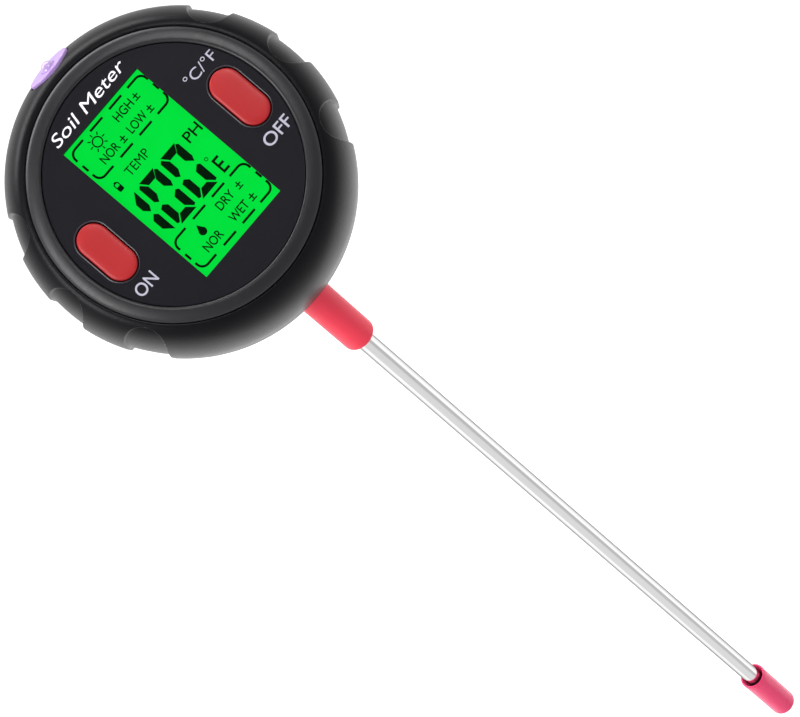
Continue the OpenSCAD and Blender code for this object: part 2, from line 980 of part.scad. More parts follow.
in_head() grip_shell();
in_head() front_cover();
in_head() face_plate();
in_head() display_window();
in_head() lcd_panel();
in_head() lcd_holder();
in_head() backlight_panel();
in_head() zebra_strips();
in_head() on_button();
in_head() off_button();
in_head() on_switch_plunger();
in_head() off_switch_plunger();
in_head() on_switch_body();
in_head() off_switch_body();
in_head() main_board();
in_head() controller_chip();
in_head() board_components();
in_head() board_screws();
in_head() light_window();
in_head() photodiode();
in_head() rear_housing();
in_head() housing_screws();
in_head() battery();
in_head() battery_snap();
in_head() battery_lead_red();
in_head() battery_lead_black();
in_head() battery_door();
in_head() door_pad();
in_head() hinge_pin();
in_head() pin_clip();
in_head() hinge_washers();
in_head() head_leads();
hinge_knuckle();
collar();
probe_tube();
tip_insulator();
sensing_tip();
thermistor();
probe_leads();
tip_cap();
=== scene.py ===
"""Digital soil meter: looks, camera and light round the fixed frame.

The head's pieces are drawn in millimetres in the head's own frame, with +z out of the face
from the front of the bezel, +y towards the light window and +x to the right, and set in
place by the matrix HEAD. The probe's pieces are drawn in millimetres round the z axis.
"""

import json
import math

import bmesh
import bpy
from mathutils import Matrix, Vector


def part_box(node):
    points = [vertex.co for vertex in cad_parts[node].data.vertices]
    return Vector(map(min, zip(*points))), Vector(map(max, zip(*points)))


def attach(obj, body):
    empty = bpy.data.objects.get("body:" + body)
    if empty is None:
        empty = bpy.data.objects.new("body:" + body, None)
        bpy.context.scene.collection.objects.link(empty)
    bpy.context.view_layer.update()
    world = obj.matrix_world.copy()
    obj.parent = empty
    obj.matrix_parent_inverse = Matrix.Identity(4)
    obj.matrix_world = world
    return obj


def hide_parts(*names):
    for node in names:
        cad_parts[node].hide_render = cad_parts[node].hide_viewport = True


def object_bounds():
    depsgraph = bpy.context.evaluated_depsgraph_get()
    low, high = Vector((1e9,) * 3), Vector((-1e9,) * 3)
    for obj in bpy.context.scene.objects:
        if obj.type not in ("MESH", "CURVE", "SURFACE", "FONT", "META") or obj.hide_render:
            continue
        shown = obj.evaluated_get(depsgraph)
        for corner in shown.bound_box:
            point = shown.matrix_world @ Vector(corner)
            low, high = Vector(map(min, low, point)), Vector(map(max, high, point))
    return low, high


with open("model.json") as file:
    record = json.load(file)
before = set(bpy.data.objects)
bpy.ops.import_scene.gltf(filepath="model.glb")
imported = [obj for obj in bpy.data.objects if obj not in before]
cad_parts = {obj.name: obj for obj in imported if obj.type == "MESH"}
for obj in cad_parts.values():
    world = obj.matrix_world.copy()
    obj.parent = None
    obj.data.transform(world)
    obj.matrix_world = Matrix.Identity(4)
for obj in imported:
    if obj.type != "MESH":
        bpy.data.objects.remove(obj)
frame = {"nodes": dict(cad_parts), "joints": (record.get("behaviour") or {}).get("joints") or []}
cad_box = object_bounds()
nodes = frame["nodes"]

# ---- The head's frame -----------------------------------------------------------------------
# The buttons are pressed straight into the face, so their joint gives the face's normal. The
# display window is a plain block, so the middle of its box fixes the face's centre.

MM = 0.001
DISPLAY_CENTRE = Vector((0, 0.5, -1.25))

press = next(joint for joint in frame["joints"] if joint["name"] == "on_press")
outward = -Vector(press["axis"]).normalized()
rightward = Vector((1, 0, 0))
upward = outward.cross(rightward)
turn = Matrix((rightward, upward, outward)).transposed()
window_low, window_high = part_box("display_window")
face_centre = (Vector(window_low) + Vector(window_high)) / 2 - turn @ DISPLAY_CENTRE * MM
HEAD = Matrix.LocRotScale(face_centre, turn, Vector((MM, MM, MM)))
PROBE = Matrix.Diagonal((MM, MM, MM, 1))

# ---- Camera -----------------------------------------------------------------------------------
# It looks almost square at the face from arm's length, rolled so that the probe runs down to
# the right. Its axis passes over the probe, a little below the head.

LENS = 186.4
CAMERA_DISTANCE = 764
LEAN = math.radians(4.05)
YAW = math.radians(0.56)
ROLL = math.radians(49.58)
HEAD_MIDDLE = Vector((0, 0, -15))
BELOW_HEAD = 51.8
LEFT_OF_AXIS = -1.34

look = Vector((math.sin(YAW) * math.cos(LEAN), math.sin(LEAN), -math.cos(LEAN) * math.cos(YAW)))
look_up = (Vector((0, 1, 0)) - look * look.y).normalized()
look_right = look.cross(look_up)
eye = HEAD_MIDDLE - look * CAMERA_DISTANCE - look_up * BELOW_HEAD - look_right * LEFT_OF_AXIS
across = look_right * math.cos(ROLL) - look_up * math.sin(ROLL)
above = look_right * math.sin(ROLL) + look_up * math.cos(ROLL)

camera_data = bpy.data.cameras.new("camera")
camera_data.lens = LENS
camera_data.clip_start = 0.05
camera_data.clip_end = 20
camera = bpy.data.objects.new("camera", camera_data)
camera.matrix_world = Matrix.LocRotScale(
    HEAD @ eye, turn @ Matrix((across, above, -look)).transposed(), None)
bpy.context.scene.collection.objects.link(camera)
bpy.context.scene.camera = camera
bpy.context.scene.view_settings.view_transform = "Standard"


# ---- Floor --------------------------------------------------------------------------------------
# A plain pale floor, well below the probe's tip, so that the meter's shadow falls out of sight.
# Painted shade turns it softly grey in front of the probe, whose steel mirrors it as a long soft
# band, and far in front, which keeps the head's lower rim dark.
# Finish wraps a Principled shader, and Signal lets its sums be written as plain arithmetic.

FLOOR_DROP = 0.5
FLOOR_SIZE = 12
FLOOR_WHITE = (0.95, 0.95, 0.95)
FLOOR_GLOW = 0.62
BAND_START = (0.34, 0.42)
BAND_END = (0.95, 1.3)
CORE_SHADE = 0.6
HAZE_SHADE = 0.42
FRONT_SHADE = 0.45
SHADE_TONE = (0.1, 0.1, 0.1)
# Soft edges of the painted shade, as bearings from the front, in radians
WHITE_TO_HAZE = (-1.3, -1.1)
HAZE_TO_CORE = (0.18, 0.34)
CORE_TO_WHITE = (0.8, 1.05)
FRONT_LEFT = (-1.5, -1.1)
FRONT_RIGHT = (1.1, 1.5)


class Signal:
    """A node's output. Arithmetic on it adds Math nodes."""

    def __init__(self, finish, socket):
        self.finish = finish
        self.socket = socket

    def sum_with(self, operation, *values):
        return self.finish.add("ShaderNodeMath", {"operation": operation}, *values)

    def __add__(self, other):
        return self.sum_with("ADD", self, other)

    def __sub__(self, other):
        return self.sum_with("SUBTRACT", self, other)

    def __rsub__(self, other):
        return self.sum_with("SUBTRACT", other, self)

    def __mul__(self, other):
        return self.sum_with("MULTIPLY", self, other)

    __radd__ = __add__
    __rmul__ = __mul__


class Finish:
    """A material with one Principled shader. Fixed values go straight onto its sockets."""

    def __init__(self, name, **fixed):
        self.material = bpy.data.materials.new(name)
        self.material.use_nodes = True
        self.tree = self.material.node_tree
        self.shader = self.tree.nodes["Principled BSDF"]
        for socket, value in fixed.items():
            self.set(socket.replace("_", " "), value)

    def set(self, socket, value):
        """Links a signal to one of the shader's sockets, or sets a fixed value there."""
        self.put(self.shader.inputs[socket], value)

    def put(self, socket, value):
        if isinstance(value, Signal):
            self.tree.links.new(value.socket, socket)
        elif socket.type == "RGBA" and len(value) == 3:
            socket.default_value = (*value, 1)
        else:
            socket.default_value = value

    def add(self, kind, settings, *values, out=0, **named):
        """Adds a node: its settings first, then its inputs by order and by name."""
        node = self.tree.nodes.new(kind)
        for setting, value in settings.items():
            setattr(node, setting, value)
        for socket, value in zip(node.inputs, values):
            self.put(socket, value)
        for socket, value in named.items():
            self.put(node.inputs[socket.replace("_", " ")], value)
        return Signal(self, node.outputs[out])

    def place(self, stretch=None, spin=None):
        """Object coordinates, in metres, stretched and turned if asked."""
        where = self.add("ShaderNodeTexCoord", {}, out="Object")
        if spin:
            where = self.add("ShaderNodeMapping", {}, where, Rotation=spin)
        if stretch:
            where = self.add("ShaderNodeMapping", {}, where, Scale=stretch)
        return where

    def axis(self, letter, where=None):
        """One coordinate of a place."""
        return self.add("ShaderNodeSeparateXYZ", {}, where or self.place(), out=letter)

    def noise(self, size, detail=2, roughness=0.5, **where):
        """Noise from 0 to 1 with grains of about this size, in metres."""
        return self.add("ShaderNodeTexNoise", {}, Vector=self.place(**where), Scale=1 / size,
                        Detail=detail, Roughness=roughness, out="Fac")

    def spread(self, value, low, high, to_low=0, to_high=1):
        """Maps low..high to to_low..to_high, held at both ends."""
        return self.add("ShaderNodeMapRange", {}, value, low, high, to_low, to_high)

    def blend(self, amount, first, second):
        """A colour between two, by amount."""
        node = self.tree.nodes.new("ShaderNodeMix")
        node.data_type = "RGBA"
        for socket, value in ((node.inputs[0], amount), (node.inputs[6], first),
                              (node.inputs[7], second)):
            self.put(socket, value)
        return Signal(self, node.outputs[2])

    def bump(self, height, depth, strength=1):
        """Raises the surface by height times depth, in metres."""
        self.set("Normal", self.add("ShaderNodeBump", {}, Strength=strength, Distance=depth,
                                    Height=height))


def thing(name, mesh, crease=32):
    """An object for a mesh, shaded smooth except at edges sharper than crease degrees."""
    mesh.name = name
    mesh.shade_smooth()
    mesh.set_sharp_from_angle(angle=math.radians(crease))
    obj = bpy.data.objects.new(name, mesh)
    bpy.context.scene.collection.objects.link(obj)
    return obj


def mesh_of(points, faces):
    """A mesh from points and faces, its doubles merged and its normals outward."""
    build = bmesh.new()
    corners = [build.verts.new(point) for point in points]
    for face in faces:
        build.faces.new([corners[i] for i in face])
    bmesh.ops.remove_doubles(build, verts=build.verts, dist=1e-6)
    bmesh.ops.recalc_face_normals(build, faces=build.faces)
    mesh = bpy.data.meshes.new("mesh")
    build.to_mesh(mesh)
    build.free()
    return mesh


def within(value, rise_start, rise_end, fall_start, fall_end):
    """1 between two soft edges of the floor's painted shade, and 0 outside them."""
    return (floor_paint.spread(value, rise_start, rise_end)
            * floor_paint.spread(value, fall_start, fall_end, 1, 0))


half = FLOOR_SIZE / 2
floor_z = cad_box[0][2] - FLOOR_DROP
floor_mesh = bpy.data.meshes.new("floor")
floor_mesh.from_pydata([(-half, -half, floor_z), (half, -half, floor_z), (half, half, floor_z),
                        (-half, half, floor_z)], [], [(0, 1, 2, 3)])
floor = thing("floor", floor_mesh)
floor_paint = Finish("floor_paint", Roughness=0.9, Specular_IOR_Level=0.1)
ground = floor_paint.place()
east = floor_paint.axis("X", ground)
south = 0 - floor_paint.axis("Y", ground)
bearing = floor_paint.add("ShaderNodeMath", {"operation": "ARCTAN2"}, east, south)
reach = floor_paint.add("ShaderNodeVectorMath", {"operation": "LENGTH"}, ground, out="Value")
far = floor_paint.spread(reach, *BAND_END)
band = floor_paint.spread(reach, *BAND_START) - far
core = within(bearing, *HAZE_TO_CORE, *CORE_TO_WHITE)
haze = within(bearing, *WHITE_TO_HAZE, *HAZE_TO_CORE)
front = within(bearing, *FRONT_LEFT, *FRONT_RIGHT)
# Painted shade: grey in the band that the probe's steel mirrors, and grey far in front of the head.
shade = band * (core * CORE_SHADE + haze * HAZE_SHADE) + far * front * FRONT_SHADE
floor_tone = floor_paint.blend(shade, FLOOR_WHITE, SHADE_TONE)
floor_paint.set("Base Color", floor_tone)
# The painted shade dims the floor's glow as well as its colour.
floor_paint.set("Emission Color", floor_tone)
floor_paint.set("Emission Strength", FLOOR_GLOW)
floor_mesh.materials.append(floor_paint.material)

# ---- Light --------------------------------------------------------------------------------------
# A room that is bright low down, dim overhead and dimmer in front, so that the black head stays
# dark and its edge is drawn in light. One soft box stands over each of the reader's shoulders,
# to draw the bezel, and a wide one behind the head draws the upper rim.

ROOM_LOW = 1.0
ROOM_HIGH = 0.14
ROOM_FRONT = 0.45
LIGHTS = {
    # name: (place in the head's frame in mm, size in m, power in W)
    "right_box": ((290, 245, 640), (0.3, 0.3), 1.8),
    "left_box": ((-620, 130, 620), (0.35, 0.5), 4.6),
    "top_box": ((0, 900, 20), (1.4, 0.4), 11),
}

room = bpy.data.worlds.new("room")
bpy.context.scene.world = room
room.use_nodes = True
room_tree = room.node_tree
room_nodes = [room_tree.nodes.new(kind) for kind in (
    "ShaderNodeTexCoord", "ShaderNodeSeparateXYZ", "ShaderNodeMapRange", "ShaderNodeMapRange",
    "ShaderNodeMath")]
room_way, room_axes, room_rise, room_front, room_light = room_nodes
room_light.operation = "MULTIPLY"
for part, values in ((room_rise, (0.1, 0.8, ROOM_LOW, ROOM_HIGH)),
                     (room_front, (-0.75, -0.15, ROOM_FRONT, 1))):
    for socket, value in zip(part.inputs[1:], values):
        socket.default_value = value
for start, end in ((room_way.outputs["Generated"], room_axes.inputs[0]),
                   (room_axes.outputs["Z"], room_rise.inputs[0]),
                   (room_axes.outputs["Y"], room_front.inputs[0]),
                   (room_rise.outputs[0], room_light.inputs[0]),
                   (room_front.outputs[0], room_light.inputs[1]),
                   (room_light.outputs[0], room_tree.nodes["Background"].inputs["Strength"])):
    room_tree.links.new(start, end)
room_tree.nodes["Background"].inputs["Color"].default_value = (1, 1, 1, 1)

for name, (place, size, power) in LIGHTS.items():
    box = bpy.data.lights.new(name, "AREA")
    box.shape = "RECTANGLE"
    box.size, box.size_y = size
    box.energy = power
    light = bpy.data.objects.new(name, box)
    spot = HEAD @ Vector(place)
    aim = (face_centre - spot).to_track_quat("-Z", "Y")
    light.matrix_world = Matrix.LocRotScale(spot, aim, None)
    bpy.context.scene.collection.objects.link(light)

# ---- Front shell --------------------------------------------------------------------------------
# The front half of the head is moulded in charcoal plastic with a fine satin grain. Its rounded
# rim has three grip notches on each side and a pocket for the light window at the top.

LIP_R = 27.1
RIM_TOP = -1.1
WIDEST_R = 32.5
WIDEST_Z = -15
PARTING_R = 32.2
PARTING_Z = -24
WALL_R = 29.6
SHELF_R = 25.25
SHELF_LOW = -6.7
SEAT_Z = -3.7
NOTCH_ANGLES = (-30, 0, 30, 150, 180, 210)
NOTCH_W = 8.5
NOTCH_DEPTH = 0.7
NOTCH_R = 32.45
NOTCH_EDGE = 0.34
LIGHT_AT = Vector((0, 30.9, -4.9))
LIGHT_ANGLE = math.radians(24)
LIGHT_W = 10.4
LIGHT_H = 6.4
LIGHT_OUT = Vector((0, math.cos(LIGHT_ANGLE), math.sin(LIGHT_ANGLE)))
LIGHT_UP = Vector((0, math.sin(LIGHT_ANGLE), -math.cos(LIGHT_ANGLE)))
POCKET_GAP = 0.22
POCKET_FLOOR = -0.9
POCKET_EDGE = 0.3


def ease(amount):
    """A smooth step from 0 to 1."""
    amount = min(1, max(0, amount))
    return amount * amount * (3 - 2 * amount)


def rim_lines():
    """The shell's section as rings: radius, height, inward direction and how far notches cut."""
    rings = [(LIP_R, SEAT_Z, (0, 0), 0), (LIP_R, RIM_TOP - 0.25, (0, 0), 0),
             (LIP_R + 0.05, RIM_TOP - 0.1, (0, 0), 0), (LIP_R + 0.2, RIM_TOP - 0.03, (0, 0), 0)]
    wide, tall = WIDEST_R - LIP_R, RIM_TOP - WIDEST_Z
    steps = 84
    for i in range(steps + 1):
        t = math.radians(4 + 86 * (i / steps) ** 0.92)
        inward = Vector((-math.sin(t) / wide, -math.cos(t) / tall)).normalized()
        rings.append((LIP_R + wide * math.sin(t), WIDEST_Z + tall * math.cos(t), inward, 1))
    for z in (-17, -19, -21, -22.6, -23.5):
        across_r = WIDEST_R + (PARTING_R - WIDEST_R) * (z - WIDEST_Z) / (PARTING_Z - WIDEST_Z)
        rings.append((across_r, z, (-1, 0), 1))
    rings += [(PARTING_R - 0.06, -23.8, (-1, 0), 1), (PARTING_R - 0.25, -23.95, (-1, 0), 1),
              (PARTING_R - 0.5, PARTING_Z, (-1, 0), 1)]
    rings += [(r, z, (0, 0), 0) for r, z in (
        (WALL_R, PARTING_Z), (WALL_R, SHELF_LOW), (SHELF_R, SHELF_LOW), (SHELF_R, SEAT_Z))]
    return rings


def shell_angles():
    """Degrees round the rim, close together where a notch or the pocket needs it."""
    fine = [(a - 10, a + 10) for a in NOTCH_ANGLES] + [(78, 102)]
    angles, angle = [], -60.0
    while angle < 300 - 0.01:
        angles.append(angle)
        close = any(low - 0.01 <= (angle - low) % 360 + low < high for low, high in fine)
        angle += 0.3125 if close else 1.25
    return angles


def notch_share(x, y):
    """How far inside a notch's outline a place is, from 0 on its rounded edge to 1."""
    share = 0
    for degrees in NOTCH_ANGLES:
        c, s = math.cos(math.radians(degrees)), math.sin(math.radians(degrees))
        along, side = x * c + y * s, y * c - x * s
        if along > 20:
            gap = abs(side) if along > NOTCH_R else math.hypot(along - NOTCH_R, side)
            share = max(share, ease((NOTCH_W / 2 - gap) / NOTCH_EDGE))
    return share


def pocket_gap(point):
    """Distance inside the light window's pointed oval, and height above its face."""
    half_w, half_h = LIGHT_W / 2, LIGHT_H / 2
    arc = (half_w ** 2 + half_h ** 2) / (2 * half_h)
    rest = point - LIGHT_AT
    a, b = rest.x, rest.dot(LIGHT_UP)
    inside = min(arc - math.hypot(a, b + arc - half_h), arc - math.hypot(a, b - arc + half_h),
                 half_w - 0.25 - math.hypot(a, b))
    return inside + POCKET_GAP, rest.dot(LIGHT_OUT)


def shell_mesh():
    rings, angles = rim_lines(), shell_angles()
    points = []
    for r, z, inward, cut in rings:
        for degrees in angles:
            c, s = math.cos(math.radians(degrees)), math.sin(math.radians(degrees))
            depth = NOTCH_DEPTH * notch_share(r * c, r * s) if cut else 0
            side, rise = r + inward[0] * depth, z + inward[1] * depth
            point = Vector((side * c, side * s, rise))
            if cut and s > 0.9:
                inside, height = pocket_gap(point)
                point -= LIGHT_OUT * (height - POCKET_FLOOR) * ease(inside / POCKET_EDGE)
            points.append(point)
    count, wide = len(rings), len(angles)
    faces = [(i * wide + j, i * wide + (j + 1) % wide,
              (i + 1) % count * wide + (j + 1) % wide, (i + 1) % count * wide + j)
             for i in range(count) for j in range(wide)]
    return mesh_of(points, faces)


def moulded(name, colour, roughness, grain=0.0004, depth=0.00002, **fixed):
    """Moulded plastic: fine sparked grain, faint cloudiness in colour and gloss."""
    finish = Finish(name, **fixed)
    cloud = finish.noise(0.012, detail=4)
    fine = finish.noise(grain, detail=2)
    lighter = [c * 1.25 + 0.002 for c in colour]
    finish.set("Base Color", finish.blend(cloud, colour, lighter))
    finish.set("Roughness", roughness + (cloud - 0.5) * 0.12 + (fine - 0.5) * 0.1)
    finish.bump(fine, depth)
    return finish


def dress(finish, *names):
    """Gives CAD nodes a finish."""
    for name in names:
        slots = nodes[name].data.materials
        slots.clear()
        slots.append(finish.material)


def finished(obj, frame_of, finish, body, slot, *stands_for):
    """Sets a drawn piece in place, gives it its finish and body, and hides the CAD nodes it stands
    for. Its slot is not used.
    """
    obj.data.transform(frame_of)
    obj.data.update()
    obj.data.materials.clear()
    obj.data.materials.append(finish.material)
    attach(obj, body)
    if stands_for:
        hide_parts(*stands_for)
    return obj


shell_black = moulded("shell_black", (0.004, 0.004, 0.0055), 0.34, Specular_IOR_Level=0.15)
finished(thing("rim_shell", shell_mesh(), 40), HEAD, shell_black, "head", "head_shell",
         "grip_shell")

# ---- Front cover --------------------------------------------------------------------------------
# The front cover shows as a dark grey ring whose top slopes outward. It is moulded in ABS, and
# its floor behind the face plate has the openings for the display and the buttons.

COVER_R = 27.0
COVER_IN_R = 24.15
FACE_BASE = -1.8
COVER_BASE = -3.4
BUTTON_X = 18.5
BUTTON_W = 6.3
BUTTON_L = 12.7
BUTTON_GAP = 0.2
DISPLAY_Y = 0.5
DISPLAY_W = 23.8
DISPLAY_H = 40.2


def turned(profile, parts=160):
    """A mesh turned round the z axis from radius and height pairs."""
    points = [(r * math.cos(2 * math.pi * j / parts), r * math.sin(2 * math.pi * j / parts), z)
              for r, z in profile for j in range(parts)]
    count = len(profile)
    faces = [(i * parts + j, i * parts + (j + 1) % parts,
              (i + 1) % count * parts + (j + 1) % parts, (i + 1) % count * parts + j)
             for i in range(count) for j in range(parts)]
    return mesh_of(points, faces)


def arc_of(radius, start, end, parts, x=0, y=0):
    """Points on an arc, in degrees."""
    return [(x + radius * math.cos(math.radians(start + (end - start) * i / parts)),
             y + radius * math.sin(math.radians(start + (end - start) * i / parts)))
            for i in range(parts + 1)]


def capsule(x, width, length):
    """A capsule's outline, upright, round a button's centre."""
    straight = (length - width) / 2
    return (arc_of(width / 2, 0, 180, 28, x, straight)
            + arc_of(width / 2, 180, 360, 28, x, -straight))


def oblong(width, height, y=0.0, corner=0.05, x=0.0):
    """A rectangle's outline with rounded corners, centred on x and y."""
    w, h = width / 2 - corner, height / 2 - corner
    return (arc_of(corner, 0, 90, 6, x + w, y + h) + arc_of(corner, 90, 180, 6, x - w, y + h)
            + arc_of(corner, 180, 270, 6, x - w, y - h) + arc_of(corner, 270, 360, 6, x + w, y - h))


def sheet_of(outlines, low, high, edge=0.0):
    """A flat part cut to outlines, the inner ones holes, its edges rounded by edge."""
    curve = bpy.data.curves.new("outline", "CURVE")
    curve.dimensions = "2D"
    curve.fill_mode = "BOTH"
    curve.extrude = (high - low) / 2 - edge
    curve.bevel_depth = edge
    curve.bevel_resolution = 2
    curve.offset = -edge
    for outline in outlines:
        spline = curve.splines.new("POLY")
        spline.points.add(len(outline) - 1)
        for point, (x, y) in zip(spline.points, outline):
            point.co = (x, y, 0, 1)
        spline.use_cyclic_u = True
    draft = bpy.data.objects.new("draft", curve)
    bpy.context.scene.collection.objects.link(draft)
    bpy.context.view_layer.update()
    mesh = bpy.data.meshes.new_from_object(
        draft.evaluated_get(bpy.context.evaluated_depsgraph_get()))
    bpy.data.objects.remove(draft)
    bpy.data.curves.remove(curve)
    mesh.transform(Matrix.Translation((0, 0, (low + high) / 2)))
    return mesh


def joined(*meshes):
    """One mesh from several, each closed, its doubles merged within each."""
    build = bmesh.new()
    for mesh in meshes:
        part = bmesh.new()
        part.from_mesh(mesh)
        bmesh.ops.remove_doubles(part, verts=part.verts, dist=1e-5)
        bmesh.ops.recalc_face_normals(part, faces=part.faces)
        part.to_mesh(mesh)
        part.free()
        build.from_mesh(mesh)
    result = bpy.data.meshes.new("mesh")
    build.to_mesh(result)
    build.free()
    return result


ring_top = [(COVER_IN_R, -0.62), (24.1, -0.3), (24.25, -0.1), (24.5, 0), (24.9, -0.03),
            (25.4, -0.11), (25.9, -0.24), (26.35, -0.41), (26.7, -0.6), (26.92, -0.82),
            (COVER_R, -1.1)]
cover_ring = turned([(COVER_IN_R, SEAT_Z)] + ring_top + [(COVER_R, SEAT_Z)])
slots = [capsule(side * BUTTON_X, BUTTON_W + 2 * BUTTON_GAP, BUTTON_L + 2 * BUTTON_GAP)
         for side in (-1, 1)]
cover_floor = sheet_of(
    [arc_of(COVER_IN_R + 0.3, 0, 357, 119), oblong(DISPLAY_W, DISPLAY_H, DISPLAY_Y)] + slots,
    COVER_BASE, FACE_BASE)
bezel_grey = moulded("bezel_grey", (0.01, 0.009, 0.012), 0.4, grain=0.0007, depth=0.00001,
                     Specular_IOR_Level=0.6)
finished(thing("bezel_ring", joined(cover_ring, cover_floor)), HEAD, bezel_grey, "head", "bezel",
         "front_cover")

# ---- Face plate ---------------------------------------------------------------------------------
# A thin near-black plate, printed in white and pale lilac on its front, lies inside the bezel.
# Its slots for the buttons have raised, rounded lips.

FACE_TOP = -0.6
PLATE_R = 24.0
WINDOW_W = 20.5
WINDOW_H = 34.4
LIP_W = 0.34
LIP_H = 0.25
PRINT_THICKNESS = 0.02
CAPITAL = 0.729  # the height of a capital in Blender's own font, at size 1


def bead(x, width, length, radius, z):
    """A round bead along a capsule's outline, flattened to rise by LIP_H."""
    outline = capsule(x, width, length)[:-1]
    outline = [p for i, p in enumerate(outline) if i == 0 or math.dist(p, outline[i - 1]) > 1e-4]
    count, parts = len(outline), 12
    points = []
    for i, (px, py) in enumerate(outline):
        nx = Vector(outline[(i + 1) % count]) - Vector(outline[i - 1])
        side = Vector((nx.y, -nx.x)).normalized()
        for k in range(parts):
            angle = 2 * math.pi * k / parts
            points.append((px + side.x * radius * math.cos(angle),
                           py + side.y * radius * math.cos(angle),
                           z + LIP_H * math.sin(angle)))
    faces = [(i * parts + k, (i + 1) % count * parts + k,
              (i + 1) % count * parts + (k + 1) % parts, i * parts + (k + 1) % parts)
             for i in range(count) for k in range(parts)]
    return mesh_of(points, faces)


plate = sheet_of([arc_of(PLATE_R, 0, 357, 119), oblong(WINDOW_W, WINDOW_H, DISPLAY_Y)] + slots,
                 FACE_BASE, FACE_TOP, 0.12)
beads = [bead(side * BUTTON_X, BUTTON_W + 2 * BUTTON_GAP + 1.1 * LIP_W,
              BUTTON_L + 2 * BUTTON_GAP + 1.1 * LIP_W, LIP_W / 2, FACE_TOP) for side in (-1, 1)]
face_black = moulded("face_black", (0.0055, 0.0048, 0.009), 0.45, grain=0.0009, depth=0.000004,
                     Specular_IOR_Level=0.2)
finished(thing("printed_plate", plate), HEAD, face_black, "head", "face", "face_plate")
lip_black = moulded("lip_black", (0.03, 0.03, 0.038), 0.3, Specular_IOR_Level=0.6)
finished(thing("slot_lips", joined(*beads)), HEAD, lip_black, "head", "face")


def lettering(words, centre, height, length, top, thick, slant=0.0, weight=0.0, spin=0.0):
    """Printed words as a thin solid: centred, of this capital height and overall length."""
    text = bpy.data.curves.new("words", "FONT")
    text.body = words
    text.shear = slant
    text.offset = weight
    text.extrude = 0.5
    draft = bpy.data.objects.new("draft", text)
    bpy.context.scene.collection.objects.link(draft)
    bpy.context.view_layer.update()
    mesh = bpy.data.meshes.new_from_object(
        draft.evaluated_get(bpy.context.evaluated_depsgraph_get()))
    bpy.data.objects.remove(draft)
    bpy.data.curves.remove(text)
    xs = [v.co.x for v in mesh.vertices]
    wide = max(xs) - min(xs)
    mesh.transform(Matrix.Translation((-(max(xs) + min(xs)) / 2, -CAPITAL / 2, -0.5)))
    mesh.transform(Matrix.Diagonal((length / wide, height / CAPITAL, thick, 1)))
    mesh.transform(Matrix.Rotation(math.radians(spin), 4, "Z"))
    mesh.transform(Matrix.Translation((*centre, top + thick)))
    return mesh


def printed(name, dim, bright, painted_glow):
    """Screen-printed ink: slightly uneven cover on a dark plate, with a painted glow of its own tone.
    """
    finish = Finish(name, Roughness=0.5, Emission_Strength=painted_glow)
    tone = finish.blend(finish.noise(0.0005), dim, bright)
    finish.set("Base Color", tone)
    finish.set("Emission Color", tone)
    return finish


# Both inks carry a painted glow, which makes them brighter than the light on the face alone would.
print_white = printed("print_white", (0.78, 0.76, 0.82), (0.95, 0.95, 0.98), 0.35)
print_pale = printed("print_pale", (0.4, 0.39, 0.5), (0.62, 0.61, 0.72), 0.12)

LEGENDS = {
    # name: (finish, words, centre, capital height, length, slant, weight, spin in degrees)
    "title_print": (print_white, "Soil Meter", (-0.35, 20.45), 2.5, 19.5, 0.2, 0.0, 1.3),
    "on_print": (print_pale, "ON", (-18.35, -9.1), 2.5, 4.75, 0, 0.008, 0),
    "off_print": (print_pale, "OFF", (18.15, -9.1), 2.5, 6.4, 0, 0.008, 0),
    "unit_print": (print_pale, "°C/°F", (17.75, 9.0), 2.15, 7.5, 0, 0.0, 0),
}
for name, (ink, words, centre, height, length, *style) in LEGENDS.items():
    word_mesh = lettering(words, centre, height, length, FACE_TOP, PRINT_THICKNESS, *style)
    finished(thing(name, joined(word_mesh)), HEAD, ink, "head", "face")

# ---- Buttons ------------------------------------------------------------------------------------
# Two capsule buttons moulded in semi-gloss red plastic, with a crowned top. The flange behind
# the cover keeps each in its slot, and the plunger of a tact switch stands under it.

BUTTON_TOP = -0.1
FLANGE_TOP = -3.5
FLANGE_BASE = -4.3
FLANGE_SIDE = 0.8


def loft(rings):
    """A closed solid through rings of equally many points."""
    count = len(rings[0])
    points = [point for ring in rings for point in ring]
    faces = [(i * count + j, i * count + (j + 1) % count,
              (i + 1) * count + (j + 1) % count, (i + 1) * count + j)
             for i in range(len(rings) - 1) for j in range(count)]
    faces += [tuple(range(count)), tuple(range(len(points) - count, len(points)))]
    return mesh_of(points, faces)


def button_mesh(side):
    steps = [(-FLANGE_SIDE, FLANGE_BASE), (-FLANGE_SIDE, FLANGE_TOP), (0, FLANGE_TOP),
             (0, -0.62), (0.04, -0.46), (0.14, -0.32), (0.32, -0.22), (0.6, -0.165),
             (1.1, -0.125), (1.8, -0.105), (2.6, BUTTON_TOP)]
    rings = []
    for inset, z in steps:
        ring = capsule(side * BUTTON_X, BUTTON_W - 2 * inset, BUTTON_L - 2 * inset)
        rings.append([(x, y, z) for x, y in ring])
    return loft(rings)


button_red = moulded("button_red", (0.47, 0.0125, 0.0155), 0.42, grain=0.0006, depth=0.000012)
for side, name in ((-1, "on_button"), (1, "off_button")):
    finished(thing(name + "_cap", button_mesh(side), 50), HEAD, button_red, name, "button_red",
             name)

switch_black = moulded("switch_black", (0.012, 0.012, 0.013), 0.45)
dress(switch_black, "on_switch_body", "off_switch_body")
plunger_ivory = moulded("plunger_ivory", (0.62, 0.58, 0.46), 0.4)
dress(plunger_ivory, "on_switch_plunger", "off_switch_plunger")

# ---- Display ------------------------------------------------------------------------------------
# Two sheets of glass with liquid crystal between them, lit from behind in green, with the dark
# segments that show on them, under a clear window. A white holder carries the backlight, and
# strips of striped rubber join the glass to the board.

LCD_TOP = -1.95
INK = 0.02
GLOW_DIM = (0.0, 0.67, 0.04)
GLOW_BRIGHT = (0.0, 0.77, 0.048)

